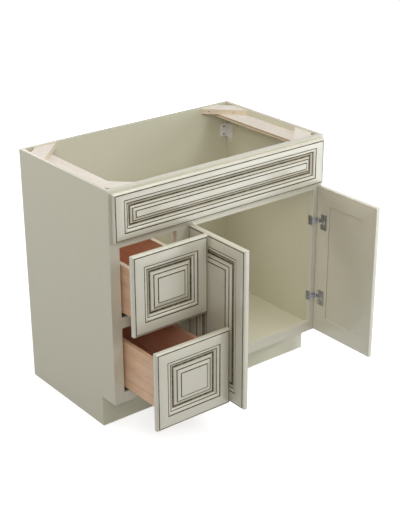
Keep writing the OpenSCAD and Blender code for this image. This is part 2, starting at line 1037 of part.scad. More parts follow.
module left_hinge_arms() {
    color("dimgray")
        for (z = hinge_heights)
            translate([left_pin_x, pin_y, fronts_z0 + z])
                hinge_arm();
}

module right_hinge_arms() {
    color("dimgray")
        for (z = hinge_heights)
            translate([right_pin_x, pin_y, fronts_z0 + z])
                mirror([1, 0, 0])
                    hinge_arm();
}

left_side_panel();
right_side_panel();
back_panel();
floor_panel();
toe_kick_board();
left_stile();
right_stile();
mullion();
top_rail();
sink_rail();
drawer_rail();
bottom_rail();
rear_left_block();
rear_right_block();
front_left_block();
front_right_block();
left_strip();
right_strip();
corner_bracket();
false_front_stiles();
false_front_rails();
false_front_panel();
false_front_clips();
upper_case_slides();
lower_case_slides();
upper_slide_sockets();
lower_slide_sockets();
upper_middle_slides();
lower_middle_slides();
upper_front_stiles();
upper_front_rails();
upper_front_panel();
upper_box_left();
upper_box_right();
upper_box_front();
upper_box_back();
upper_box_bottom();
upper_drawer_slides();
upper_clips();
lower_front_stiles();
lower_front_rails();
lower_front_panel();
lower_box_left();
lower_box_right();
lower_box_front();
lower_box_back();
lower_box_bottom();
lower_drawer_slides();
lower_clips();
left_door_stiles();
left_door_rails();
left_door_panel();
left_door_cups();
right_door_stiles();
right_door_rails();
right_door_panel();
right_door_cups();
left_hinge_arms();
right_hinge_arms();
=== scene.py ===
"""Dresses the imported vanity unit: glazed raised-panel fronts, painted case, raw
wood supports, drawer boxes and hardware, in a pale studio. Metres, CAD frame."""
import math

import bpy
from mathutils import Matrix, Vector


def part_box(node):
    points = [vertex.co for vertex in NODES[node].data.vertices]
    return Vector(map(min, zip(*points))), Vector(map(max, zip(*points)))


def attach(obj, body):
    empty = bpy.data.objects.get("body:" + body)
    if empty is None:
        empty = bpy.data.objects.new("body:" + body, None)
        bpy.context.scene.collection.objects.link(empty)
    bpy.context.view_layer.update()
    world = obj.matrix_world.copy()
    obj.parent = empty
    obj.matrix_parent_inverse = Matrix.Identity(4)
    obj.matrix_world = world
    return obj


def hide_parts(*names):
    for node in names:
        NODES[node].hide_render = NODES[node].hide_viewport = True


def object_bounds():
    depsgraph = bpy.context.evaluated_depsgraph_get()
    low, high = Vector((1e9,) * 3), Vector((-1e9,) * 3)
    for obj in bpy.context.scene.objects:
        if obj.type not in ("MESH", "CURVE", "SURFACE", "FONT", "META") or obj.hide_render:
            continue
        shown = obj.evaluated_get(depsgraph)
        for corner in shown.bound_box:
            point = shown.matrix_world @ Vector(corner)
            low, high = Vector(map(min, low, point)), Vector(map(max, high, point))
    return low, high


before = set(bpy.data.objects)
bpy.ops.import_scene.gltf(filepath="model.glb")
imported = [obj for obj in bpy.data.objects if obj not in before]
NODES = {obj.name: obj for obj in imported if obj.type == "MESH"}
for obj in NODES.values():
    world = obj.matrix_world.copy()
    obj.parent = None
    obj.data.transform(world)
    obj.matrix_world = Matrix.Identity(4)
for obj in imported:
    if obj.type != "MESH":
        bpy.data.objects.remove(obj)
cad_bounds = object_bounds()
MM = 0.001

# Camera, from the straight edges of the photograph, angles in degrees
CAMERA_PLACE = (-2.3346, -3.3947, 2.1578)
CAMERA_AZIMUTH = 38.068
CAMERA_DOWN = 24.23
CAMERA_ROLL = -0.262
FOCAL_PIXELS = 1182.4
FRAME_PIXELS = 532
SENSOR = 36
HALF_PIXEL = 0.5 / FRAME_PIXELS

# Fronts, in millimetres, as in the solids: flats are the plain widths of stiles
# and rails, relief holds the widths of the panel's cove and ramp
FRONT_T = 19
EDGE_R = 5.5
EDGE_DROP = 0.8
BACK_EDGE_R = 1.5
STICKING_W = 19.5
GROOVE_W = 4.5
GROOVE_DEPTH = 8.8
STEP_DEPTH = 4.2
PANEL_BACK = 15.5
FLATS = (44, 44)
RELIEF = (13.5, 16)
FALSE_FLATS = (40.5, 28)
FALSE_RELIEF = (8.5, 12)

# Inner edge of stiles and rails, in the look alone and in millimetres: the chamfer at the
# back, how far the panel is drawn into them, and the painted shade in the stiles' seam
# with the panel, which starts a little before the panel's back
BACK_CHAMFER = 1
PANEL_LAP = 0.5
SEAM_SHADE = 0.4
SEAM_BEFORE = 1

# Mouldings of stiles and rails, as (place, depth, glaze) in millimetres. Places run
# inward, from the outer edge for the edge's line and from the flat for the others.
# The bead is an arc whose crest lies at BEAD_DEPTH
EDGE_LINE = ((5.0, 0.85, 1), (7.5, 0.85, 1), (7.9, 0.12, 0.9), (8.4, 0, 0))
BEAD_LINE = ((-2.4, 0, 0), (-2.0, 0.08, 0.9), (-1.4, 0.9, 1), (1.0, 1.06, 1), (1.25, 1.08, 0.6))
BEAD_R = 7
BEAD_PLACE = 4.3
BEAD_DEPTH = 0.4
BEAD_ARC = (245, 331)
SLOPE = ((10.5, 4.5, 1), (13.3, 4.75, 1), (13.7, 5.1, 0), (15.9, 7.4, 0), (17.4, 8.4, 0.2))
SLOPE_END = 8.5

# Mouldings of a raised panel, as (place, depth, glaze) in millimetres: the groove's floor
# from the frame's inner edge and the groove's depth, the line at the step from the cove's
# end and the step's depth, and the line round the field from the ramp's end
GROOVE_LINE = ((-PANEL_LAP, 0, 0.7), (1.8, 0, 0.75), (2.2, 0, 1), (GROOVE_W, -0.1, 1))
COVE_STEPS = 9
COVE_STAIN = (1, 0.4, 0.2, 0.1)
STEP_LINE = ((-1.1, 0.1, 1), (1.6, 0.1, 1), (2.0, -0.8, 0.5))
FIELD_LINE = ((-2.5, 1.0, 1), (0, 1.0, 1), (0.3, 0.12, 1), (0.9, 0, 0))

# Curve of the ramp, in millimetres: its start past the cove, what its two ends leave
# free, its depth at the top, its fall, how it bends, and where along it rings are set
RAMP_START = 2.3
RAMP_ENDS = 5
RAMP_TOP = 1.0
RAMP_FALL = 2.3
RAMP_BEND = 1.6
RAMP_SHARES = (0, 0.25, 0.5, 0.75, 0.97)

# Hinge pockets in a door's back, as in the solids
CUP_D = 26
CUP_IN = 36.5
CUP_DEPTH = 11
FLANGE_H = 59
POCKET_DEPTH = 8.8
POCKET_H = 17
FRAME_T = 19

# Their cutters: how far they run past the wood, in millimetres, and a round one's sides
CUT_PAST = 1
BORE_SIDES = 48

# Screw heads: radius, then rings as (radius, height, crossed) in radii, and the cross
SCREW_R = 3.3
SCREW_SIDES = 32
SCREW_RINGS = ((1, 0, False), (1, 0.2, False), (0.85, 0.42, False),
               (0.6, 0.5, True), (0.55, 0.1, True))
CROSS_HALF_ANGLE = 0.25
CROSS_WAIST = 0.4

# Distances of a hinge's screws from its middle, in its flange and in its plate
FLANGE_SCREW = 22
PLATE_SCREW = 12

# Screws of the rear bracket, from its upper inner corner: along X and Y, then down
BRACKET_SCREW_IN = (15, 2.5)
BRACKET_SCREWS_DOWN = (11.3, 41.6)

# Studio, in metres and watts: name, place, width and height, power and colour
LIGHT_AIM = (0, -0.4, 0.45)
WORLD_STRENGTH = 0.04
WHITE = (1, 1, 1, 1)
NEUTRAL = (1, 1, 1)
COOL = (0.92, 0.96, 1)
SKY = (0.8, 0.89, 1)
SOFTBOXES = (
    ("overhead", (0, -0.3, 3.2), (3.0, 3.0), 57, NEUTRAL),
    ("front_left", (-2.4, -3.2, 3.0), (2.0, 2.0), 52, NEUTRAL),
    ("back_left", (-2.6, 2.4, 1.1), (1.6, 1.6), 8, NEUTRAL),
    ("back", (0.6, 3.4, 1.2), (2.0, 2.0), 42, NEUTRAL),
    ("left_top", (-2.0, 0.4, 2.3), (1.0, 1.0), 13, NEUTRAL),
    ("front", (1.2, -3.6, 2.6), (1.2, 1.2), 34, COOL),
    ("right", (3.2, -1.2, 1.3), (1.6, 1.6), 60, SKY),
    ("low_right", (2.5, -2.9, 0.75), (1.4, 1.4), 16, COOL),
    ("card", (1.15, -1.85, 0.2), (1.2, 0.8), 4, NEUTRAL),
)

# Floor: how far it reaches, its greys where seen and where it only bounces light, and
# its glow, which rises from one distance to another
FLOOR_REACH = 12
FLOOR_SEEN = (0.6, 0.6, 0.6, 1)
FLOOR_BOUNCE = (0.5, 0.5, 0.5, 1)
GLOW_DISTANCES = (0.8, 3.0)
GLOW_STRENGTHS = (0.7, 1.0)


def srgb(r, g, b):
    """Linear colour of an 8-bit screen colour."""
    def linear(c):
        c = c / 255
        return c / 12.92 if c <= 0.04045 else ((c + 0.055) / 1.055) ** 2.4
    return (linear(r), linear(g), linear(b), 1)


PAINT = srgb(212, 207, 189)
PAINT_WARM = srgb(205, 198, 175)
STAIN = srgb(160, 149, 124)
GLAZE = srgb(80, 70, 48)
GLAZE_DEEP = srgb(56, 48, 32)
CASE = srgb(212, 208, 184)
# The face frame's top face, darker as painted shade
FRAME_TOP_SHADE = srgb(187, 183, 168)
BACK_TOP = srgb(172, 166, 148)
RAW_LIGHT = srgb(216, 210, 202)
RAW_DARK = srgb(200, 188, 171)
RAW_EDGE = srgb(191, 182, 168)
RAW_SIDE = srgb(223, 205, 174)
PLY_DARK = srgb(180, 145, 114)
BOX_LIGHT = srgb(240, 202, 167)
BOX_DARK = srgb(217, 173, 138)
# The lower drawer's board tops, darker as painted shade under the upper drawer
BOX_EDGE_SHADED = srgb(204, 164, 132)
BOX_EDGE = srgb(226, 210, 184)
INSIDE_LIGHT = srgb(222, 173, 144)
INSIDE_DARK = srgb(205, 151, 122)
ZINC = srgb(196, 197, 198)
NICKEL = srgb(178, 180, 186)
STEEL = srgb(142, 143, 148)
BRONZE = srgb(84, 72, 60)
RUBBED = srgb(90, 90, 88)
PLASTIC_PALE = srgb(236, 233, 228)
PLASTIC_GREY = srgb(120, 120, 120)
PLASTIC_MOTTLE = srgb(150, 146, 140)

# Sheen of the fronts: socket, value on clean paint, value on glaze
PAINT_ROUGHNESS = 0.24
PAINT_SHEEN = (
    ("Roughness", PAINT_ROUGHNESS, 0.6),
    ("Specular IOR Level", 0.5, 0),
    ("Coat Weight", 0.6, 0),
)
COAT_ROUGHNESS = 0.14

# Scales that draw noise out: wood across and along its grain, the case's upright
# streaks, and the rubbing marks of steel
GRAIN_ACROSS = 40
GRAIN_ALONG = 3
STREAKS = (240, 240, 6)
RUBBING = (1, 1, 0.2)

# Shares of the second colour: warm patches and streaks in paint, yellower upright faces
# of raw wood, and rubbing marks
PATCH_SHARE = 0.5
STREAK_SHARE = 0.25
SIDE_SHARE = 0.8
RUBBED_SHARE = 0.25

# Stain turns into glaze at this amount
STAIN_FULL = 0.5

# Wood: the share of the pores in its colour, and how much slower the figure is
PORE_SHARE = 0.55
FIGURE_SLOWER = 7

# The dark core of the strips' plywood: its middle and half width as shares of the thickness
PLY_MIDDLE = 0.64
PLY_HALF = 0.17

# How far below the unit's top a face still belongs to the rim, in millimetres, and
# the component of a face's normal above which the face counts as facing that axis
RIM_H = 2
FACING = 0.5

# Bumps and eased edges
BUMP_STRENGTH = 0.6
BEVEL_SAMPLES = 6

# Colour sockets of the Mix node
MIX_A, MIX_B, MIX_RESULT = 6, 7, 2

# Above this angle in degrees an edge stays sharp
SHARP_ANGLE = 32
SCREW_SHARP_ANGLE = 40


class Shader:
    """A material's node tree, with short calls for the nodes used here."""

    def __init__(self, name, roughness, metallic=0.0):
        self.material = bpy.data.materials.new(name)
        self.material.use_nodes = True
        self.tree = self.material.node_tree
        self.bsdf = self.tree.nodes["Principled BSDF"]
        self.bsdf.inputs["Roughness"].default_value = roughness
        self.bsdf.inputs["Metallic"].default_value = metallic
        self.place = self.node("ShaderNodeTexCoord").outputs["Object"]

    def node(self, kind, **settings):
        made = self.tree.nodes.new(kind)
        for key, value in settings.items():
            setattr(made, key, value)
        return made

    def link(self, source, target):
        self.tree.links.new(source, target)

    def feed(self, value, socket):
        """Links a socket, or writes a plain number or colour."""
        if isinstance(value, (int, float, tuple)):
            socket.default_value = value
        else:
            self.link(value, socket)

    def stretched(self, scale):
        """Object coordinates scaled along each axis, for grain."""
        mapping = self.node("ShaderNodeMapping")
        mapping.inputs["Scale"].default_value = scale
        self.link(self.place, mapping.inputs["Vector"])
        return mapping.outputs["Vector"]

    def noise(self, scale, detail, vector=None, distortion=0.0):
        made = self.node("ShaderNodeTexNoise")
        made.inputs["Scale"].default_value = scale
        made.inputs["Detail"].default_value = detail
        made.inputs["Distortion"].default_value = distortion
        self.link(vector or self.place, made.inputs["Vector"])
        return made.outputs["Fac"]

    def ramp(self, value, low, high, out_low=0.0, out_high=1.0):
        made = self.node("ShaderNodeMapRange")
        set_range(made, low, high, out_low, out_high)
        self.link(value, made.inputs["Value"])
        return made.outputs["Result"]

    def math(self, kind, a, b=0.0):
        made = self.node("ShaderNodeMath", operation=kind)
        self.feed(a, made.inputs[0])
        self.feed(b, made.inputs[1])
        return made.outputs["Value"]

    def mix(self, factor, a, b):
        """Colour mix; a and b are colours or sockets."""
        made = self.node("ShaderNodeMix", data_type="RGBA")
        self.feed(factor, made.inputs[0])
        self.feed(a, made.inputs[MIX_A])
        self.feed(b, made.inputs[MIX_B])
        return made.outputs[MIX_RESULT]

    def component(self, vector, index):
        split = self.node("ShaderNodeSeparateXYZ")
        self.link(vector, split.inputs[0])
        return split.outputs[index]

    def axis(self, index):
        """One object coordinate, in metres."""
        return self.component(self.place, index)

    def facing(self, index):
        """One component of the surface's normal."""
        return self.component(self.node("ShaderNodeTexCoord").outputs["Normal"], index)

    def attribute(self, name):
        return self.node("ShaderNodeAttribute", attribute_name=name).outputs["Fac"]

    def finish(self, colour, height, depth, edge=0.0):
        """Sets the colour, a bump from height, and eased edges; depth and edge are in
        millimetres."""
        self.link(colour, self.bsdf.inputs["Base Color"])
        bump = self.node("ShaderNodeBump")
        bump.inputs["Distance"].default_value = depth * MM
        bump.inputs["Strength"].default_value = BUMP_STRENGTH
        self.link(height, bump.inputs["Height"])
        if edge:
            bevel = self.node("ShaderNodeBevel", samples=BEVEL_SAMPLES)
            bevel.inputs["Radius"].default_value = edge * MM
            self.link(bevel.outputs["Normal"], bump.inputs["Normal"])
        self.link(bump.outputs["Normal"], self.bsdf.inputs["Normal"])
        return self.material


def set_range(node, low, high, out_low, out_high):
    """Writes the limits of a Map Range node."""
    node.inputs["From Min"].default_value = low
    node.inputs["From Max"].default_value = high
    node.inputs["To Min"].default_value = out_low
    node.inputs["To Max"].default_value = out_high


def glazed_paint():
    """Satin paint with a brown glaze wiped into the grooves of the mouldings."""
    s = Shader("glazed_paint", roughness=PAINT_ROUGHNESS)
    patches = s.ramp(s.noise(scale=9, detail=4), low=0.35, high=0.7)
    paint = s.mix(s.math("MULTIPLY", patches, PATCH_SHARE), PAINT, PAINT_WARM)
    wiped = s.ramp(s.noise(scale=60, detail=4), low=0.3, high=0.6, out_low=0.85)
    # The glaze amount also holds painted shade in the stiles' seams with the panels
    amount = s.math("MULTIPLY", s.attribute("glaze"), wiped)
    s.bsdf.inputs["Coat Roughness"].default_value = COAT_ROUGHNESS
    for socket, clean, glazed in PAINT_SHEEN:
        sheen = s.ramp(amount, low=0, high=1, out_low=clean, out_high=glazed)
        s.link(sheen, s.bsdf.inputs[socket])
    glaze = s.mix(s.ramp(s.noise(scale=35, detail=2), low=0.4, high=0.62), GLAZE, GLAZE_DEEP)
    stained = s.mix(s.ramp(amount, low=0, high=STAIN_FULL), paint, STAIN)
    colour = s.mix(s.ramp(amount, low=STAIN_FULL, high=1), stained, glaze)
    return s.finish(colour, s.noise(scale=700, detail=2), depth=0.08)


def painted(name, colour, top=None):
    """Satin paint with faint upright streaks and eased edges; top colours the upward face at the
    unit's top: bare plywood on the side panels, a darker tone on the back panel, painted shade on
    the face frame.
    """
    s = Shader(name, roughness=0.34)
    grain = s.noise(scale=1, vector=s.stretched(STREAKS), detail=5)
    streaks = s.math("MULTIPLY", s.ramp(grain, low=0.35, high=0.75), STREAK_SHARE)
    shade = s.mix(streaks, colour, PAINT_WARM)
    if top:
        above = s.math("GREATER_THAN", s.axis(2), cad_bounds[1][2] - RIM_H * MM)
        top_face = s.math("MULTIPLY", above, s.math("GREATER_THAN", s.facing(2), FACING))
        shade = s.mix(top_face, shade, top)
    return s.finish(shade, grain, depth=0.1, edge=0.8)


def grain_along(axis):
    """Scales that draw noise out along one axis."""
    return tuple(GRAIN_ALONG if i == axis else GRAIN_ACROSS for i in range(3))


def wood_colour(s, stretch, light, dark, rings):
    """Long grain: stretched noise for pores and a slower one for the figure."""
    fine = s.noise(rings, vector=s.stretched(stretch), detail=8, distortion=0.4)
    slow = s.noise(rings / FIGURE_SLOWER, vector=s.stretched(stretch), detail=3, distortion=0.8)
    pores = s.math("MULTIPLY", fine, PORE_SHARE)
    figure = s.math("MULTIPLY", slow, 1 - PORE_SHARE)
    both = s.math("ADD", pores, figure)
    return s.mix(s.ramp(both, low=0.36, high=0.64), light, dark), fine


def raw_wood(name, stretch, ply_node=None):
    """Unfinished wood with yellower upright faces, where plywood the size of ply_node
    shows its dark core."""
    s = Shader(name, roughness=0.7)
    colour, grain = wood_colour(s, stretch, RAW_LIGHT, RAW_DARK, rings=22)
    upright = s.math("LESS_THAN", s.math("ABSOLUTE", s.facing(2)), FACING)
    colour = s.mix(s.math("MULTIPLY", upright, SIDE_SHARE), colour, RAW_SIDE)
    if ply_node:
        low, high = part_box(ply_node)
        share = s.ramp(s.axis(2), low.z, high.z)
        off_middle = s.math("ABSOLUTE", s.math("SUBTRACT", share, PLY_MIDDLE))
        core = s.math("LESS_THAN", off_middle, PLY_HALF)
        colour = s.mix(s.math("MULTIPLY", core, upright), colour, PLY_DARK)
    return s.finish(colour, grain, depth=0.3, edge=0.6)


def drawer_wood(name, axis, inner_side, edge):
    """A drawer board: reddish inner face, tan outer face, and a top edge in the colour given,
    darkened as painted shade on the lower drawer.
    """
    s = Shader(name, roughness=0.42)
    stretch = grain_along(1 - axis)
    outer, grain = wood_colour(s, stretch, BOX_LIGHT, BOX_DARK, rings=9)
    inner, _ = wood_colour(s, stretch, INSIDE_LIGHT, INSIDE_DARK, rings=9)
    inward = s.math("MULTIPLY", s.facing(axis), inner_side)
    colour = s.mix(s.math("GREATER_THAN", inward, FACING), outer, inner)
    colour = s.mix(s.math("GREATER_THAN", s.facing(2), FACING), colour, edge)
    return s.finish(colour, grain, depth=0.2, edge=0.8)


def drawer_bottom():
    """The reddish plywood of a drawer's bottom."""
    s = Shader("drawer_bottom", roughness=0.4)
    colour, grain = wood_colour(s, grain_along(1), INSIDE_LIGHT, INSIDE_DARK, rings=8)
    return s.finish(colour, grain, depth=0.2)


def metal(name, colour, roughness):
    """Plated steel with fine rubbing marks."""
    s = Shader(name, roughness=roughness, metallic=1.0)
    marks = s.noise(scale=900, vector=s.stretched(RUBBING), detail=4)
    rubbed = s.math("MULTIPLY", s.ramp(marks, low=0.3, high=0.7), RUBBED_SHARE)
    return s.finish(s.mix(rubbed, colour, RUBBED), marks, depth=0.04, edge=0.3)


def plastic(name, colour):
    """Moulded plastic with a faint mottle."""
    s = Shader(name, roughness=0.45)
    mottle = s.noise(scale=400, detail=3)
    shade = s.mix(s.ramp(mottle, low=0.3, high=0.7, out_high=0.12), colour, PLASTIC_MOTTLE)
    return s.finish(shade, mottle, depth=0.06, edge=0.5)


def arc(cx, cy, r, start, end, steps):
    """Points on an arc as (distance, depth, glaze), without glaze."""
    turns = [math.radians(start + (end - start) * i / steps) for i in range(steps + 1)]
    return [(cx + r * math.cos(a), cy + r * math.sin(a), 0) for a in turns]


def frame_rings(flats, seam):
    """Closed outline of a front's frame members as (stile inset, rail inset, depth, glaze);
    seam is painted shade on the inner edge behind the panel, held in the glaze value."""
    edge = arc(BACK_EDGE_R, FRONT_T - BACK_EDGE_R, BACK_EDGE_R, start=90, end=180, steps=4)
    edge += arc(EDGE_R, EDGE_R + EDGE_DROP, EDGE_R, start=180, end=264, steps=9)
    edge += EDGE_LINE
    bead = arc(BEAD_PLACE, BEAD_R + BEAD_DEPTH, BEAD_R, *BEAD_ARC, steps=14)
    sticking = [*BEAD_LINE, *bead, *SLOPE]
    sticking += [(STICKING_W, SLOPE_END, 0.5), (STICKING_W, GROOVE_DEPTH, 0.7),
                 # Painted shade in the seam behind the panel, given on stiles only
                 (STICKING_W, PANEL_BACK - SEAM_BEFORE, seam),
                 (STICKING_W, FRONT_T - BACK_CHAMFER, seam),
                 (STICKING_W - BACK_CHAMFER, FRONT_T, 0)]
    rings = [(place, place, depth, glaze) for place, depth, glaze in edge]
    stile, rail = flats
    return rings + [(stile + place, rail + place, depth, glaze) for place, depth, glaze in sticking]


def panel_rings(relief):
    """Front of a raised panel from its groove to its field, from the frame's inner edge."""
    cove, ramp = relief
    foot = GROOVE_W + cove
    end = foot + ramp
    rise = GROOVE_DEPTH - STEP_DEPTH
    rings = [(place, GROOVE_DEPTH + depth, glaze) for place, depth, glaze in GROOVE_LINE]
    for i in range(1, COVE_STEPS):
        depth = GROOVE_DEPTH - rise * (1 - math.cos(math.radians(90 * i / COVE_STEPS)))
        stain = COVE_STAIN[i - 1] if i <= len(COVE_STAIN) else 0
        rings.append((GROOVE_W + cove * i / COVE_STEPS, depth, stain))
    rings += [(foot + place, STEP_DEPTH + depth, glaze) for place, depth, glaze in STEP_LINE]
    for t in RAMP_SHARES:
        place = foot + RAMP_START + (ramp - RAMP_ENDS) * t
        rings.append((place, RAMP_TOP + RAMP_FALL * (1 - t) ** RAMP_BEND, 0))
    return rings + [(end + place, depth, glaze) for place, depth, glaze in FIELD_LINE]


def mesh_of(name, points, faces):
    mesh = bpy.data.meshes.new(name)
    mesh.from_pydata(points, [], faces)
    return mesh


def add_object(name, data):
    """A new object, linked into the scene."""
    made = bpy.data.objects.new(name, data)
    bpy.context.scene.collection.objects.link(made)
    return made


def corners(w, h, a, b, depth):
    """The four corners of a ring, in metres, starting at the lower left."""
    spots = ((a, b), (w - a, b), (w - a, h - b), (a, h - b))
    return [Vector((x * MM, depth * MM, z * MM)) for x, z in spots]


def loft(name, w, h, rings, sides, closed, field=None, back=None):
    """Lofts rings (a, b, depth, glaze) along the chosen sides of a w by h front."""
    points, faces, glaze = [], [], []
    for side in sides:
        start = len(points)
        for a, b, depth, g in rings:
            ring = corners(w, h, a, b, depth)
            points += [ring[side], ring[(side + 1) % 4]]
            glaze += [g, g]
        count = len(rings)
        for i in range(count if closed else count - 1):
            j = (i + 1) % count
            faces.append([start + 2 * i, start + 2 * i + 1, start + 2 * j + 1, start + 2 * j])
        if closed:
            faces.append([start + 2 * i for i in range(count)])
            faces.append([start + 2 * i + 1 for i in reversed(range(count))])
    for flat, order in ((field, (0, 1, 2, 3)), (back, (3, 2, 1, 0))):
        if flat:
            start = len(points)
            points += corners(w, h, *flat)
            glaze += [0] * 4
            faces.append([start + i for i in order])
    mesh = mesh_of(name, points, faces)
    mesh.attributes.new("glaze", "FLOAT", "POINT").data.foreach_set("value", glaze)
    return add_object(name, mesh)


def smooth(mesh, angle=SHARP_ANGLE):
    mesh.shade_smooth()
    mesh.set_sharp_from_angle(angle=math.radians(angle))


def place_for_good(piece, matrix):
    """Moves a piece's mesh into the CAD frame; a mirrored one keeps its faces outward."""
    piece.data.transform(matrix)
    if matrix.determinant() < 0:
        piece.data.flip_normals()
    smooth(piece.data)


def settle(piece, body, node, material):
    """Puts a piece on its body in place of a CAD node."""
    piece.data.materials.clear()
    piece.data.materials.append(material)
    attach(piece, body)
    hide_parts(node)


def block(name, low, high):
    """A closed block, used only to cut pockets."""
    points = [Vector((x, y, z)) * MM for z in (low[2], high[2]) for y in (low[1], high[1])
              for x in (low[0], high[0])]
    faces = [(0, 2, 3, 1), (4, 5, 7, 6), (0, 1, 5, 4), (2, 6, 7, 3), (0, 4, 6, 2), (1, 3, 7, 5)]
    return add_object(name, mesh_of(name, points, faces))


def disc(name, x, y0, y1, z, radius):
    """A closed cylinder along Y, used only to cut the cups' bores."""
    steps = BORE_SIDES
    turns = [2 * math.pi * i / steps for i in range(steps)]
    points = [Vector((x + radius * math.cos(t), y, z + radius * math.sin(t))) * MM
              for y in (y0, y1) for t in turns]
    faces = [[i, (i + 1) % steps, steps + (i + 1) % steps, steps + i] for i in range(steps)]
    faces += [list(reversed(range(steps))), [steps + i for i in range(steps)]]
    return add_object(name, mesh_of(name, points, faces))


def cut(piece, cutters):
    """Subtracts closed cutters from a closed piece and keeps the result."""
    for cutter in cutters:
        modifier = piece.modifiers.new(cutter.name, "BOOLEAN")
        modifier.operation = "DIFFERENCE"
        modifier.solver = "EXACT"
        modifier.object = cutter
    bpy.context.view_layer.update()
    evaluated = piece.evaluated_get(bpy.context.evaluated_depsgraph_get())
    result = bpy.data.meshes.new_from_object(evaluated)
    piece.modifiers.clear()
    piece.data = result
    for cutter in cutters:
        bpy.data.objects.remove(cutter)


def hinge_heights(door):
    """Heights of a door's two hinges above the floor, in metres."""
    low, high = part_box(door + "_cups")
    return low.z + FLANGE_H / 2 * MM, high.z - FLANGE_H / 2 * MM


def hinge_cutters(door):
    """Bores and pockets of a door, at the heights of its hinge cups."""
    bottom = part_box(door + "_stiles")[0].z
    past = FRONT_T + CUT_PAST
    cutters = []
    for i, height in enumerate(hinge_heights(door)):
        z = (height - bottom) / MM
        cutters.append(disc(f"bore_{i}", CUP_IN, FRONT_T - CUP_DEPTH, past, z, CUP_D / 2))
        cutters.append(block(f"pocket_{i}", (-CUT_PAST, FRONT_T - POCKET_DEPTH, z - POCKET_H / 2),
                             (CUP_IN, past, z + POCKET_H / 2)))
    return cutters


def front(prefix, body, across, back, material, flats=FLATS, relief=RELIEF):
    """Five-piece front over the CAD one: across runs along its width, back into it."""
    low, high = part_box(prefix + "_stiles")
    size = high - low
    w = abs(size.dot(across)) / MM
    h = size.z / MM
    corner = [low[i] if across[i] + back[i] >= 0 else high[i] for i in range(2)]
    turn = Matrix((across, back, (0, 0, 1))).transposed().to_4x4()
    matrix = Matrix.Translation((*corner, low.z)) @ turn
    inner = (flats[0] + STICKING_W, flats[1] + STICKING_W)
    # Stiles carry painted shade in their seam with the panel, rails none
    stiles = loft(prefix + "_stiles_look", w, h, frame_rings(flats, SEAM_SHADE), (1, 3), True)
    rails = loft(prefix + "_rails_look", w, h, frame_rings(flats, 0), (0, 2), True)
    rings = [(inner[0] + place, inner[1] + place, depth, glaze)
             for place, depth, glaze in panel_rings(relief)]
    panel = loft(prefix + "_panel_look", w, h, rings, (0, 1, 2, 3), False, rings[-1][:3],
                 (inner[0] - PANEL_LAP, inner[1] - PANEL_LAP, PANEL_BACK))
    if "door" in prefix:
        cut(stiles, hinge_cutters(prefix))
    for piece, kind in ((stiles, "_stiles"), (rails, "_rails"), (panel, "_panel")):
        place_for_good(piece, matrix)
        settle(piece, body, prefix + kind, material)


def dress_fronts():
    paint = glazed_paint()
    plus_x, minus_x = Vector((1, 0, 0)), Vector((-1, 0, 0))
    plus_y, minus_y = Vector((0, 1, 0)), Vector((0, -1, 0))
    front("false_front", "cabinet", plus_x, plus_y, paint, FALSE_FLATS, FALSE_RELIEF)
    front("upper_front", "upper_drawer", plus_x, plus_y, paint)
    front("lower_front", "lower_drawer", plus_x, plus_y, paint)
    front("left_door", "left_door", minus_y, plus_x, paint)
    front("right_door", "right_door", minus_y, minus_x, paint)


def screw_points(middle, turn):
    """Rings of one screw head; a crossed ring is drawn in between the arms of its cross."""
    points = []
    for radius, height, crossed in SCREW_RINGS:
        for i in range(SCREW_SIDES):
            angle = 2 * math.pi * i / SCREW_SIDES
            off_arm = abs((angle + math.pi / 4) % (math.pi / 2) - math.pi / 4)
            waist = CROSS_WAIST if crossed and off_arm >= CROSS_HALF_ANGLE else 1
            reach = radius * SCREW_R * waist * MM
            spot = (reach * math.cos(angle), reach * math.sin(angle), height * SCREW_R * MM)
            points.append(middle + turn @ Vector(spot))
    return points


def screws(name, body, heads, out, material):
    """Cross-slotted screw heads at the given places, standing out along out."""
    points, faces = [], []
    turn = Vector(out).to_track_quat("Z", "Y").to_matrix()
    last = len(SCREW_RINGS) - 1
    for middle in heads:
        start = len(points)
        points += screw_points(middle, turn)
        for ring in range(last):
            low, high = start + ring * SCREW_SIDES, start + (ring + 1) * SCREW_SIDES
            for i in range(SCREW_SIDES):
                j = (i + 1) % SCREW_SIDES
                faces.append([low + i, low + j, high + j, high + i])
        faces.append([start + last * SCREW_SIDES + i for i in range(SCREW_SIDES)])
        faces.append([start + i for i in reversed(range(SCREW_SIDES))])
    mesh = mesh_of(name, points, faces)
    mesh.materials.append(material)
    piece = add_object(name, mesh)
    smooth(mesh, SCREW_SHARP_ANGLE)
    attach(piece, body)


def screw_hinges(material):
    """Two screws in each hinge's flange and two in its plate."""
    for side, out in (("left", 1), ("right", -1)):
        door = side + "_door"
        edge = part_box(door + "_stiles")[1].y
        cups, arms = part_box(door + "_cups"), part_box(side + "_hinge_arms")
        face = 1 if out > 0 else 0
        flange = (cups[face].x, edge - CUP_IN * MM)
        plate = (arms[face].x, arms[1].y - FRAME_T / 2 * MM)
        for name, body, spot, reach in ((door + "_screws", door, flange, FLANGE_SCREW),
                                        (side + "_plate_screws", "cabinet", plate, PLATE_SCREW)):
            heads = [Vector((*spot, z + up * MM))
                     for z in hinge_heights(door) for up in (-reach, reach)]
            screws(name, body, heads, (out, 0, 0), material)


def give(material, *names):
    """Gives CAD nodes a material."""
    for name in names:
        NODES[name].data.materials.clear()
        NODES[name].data.materials.append(material)


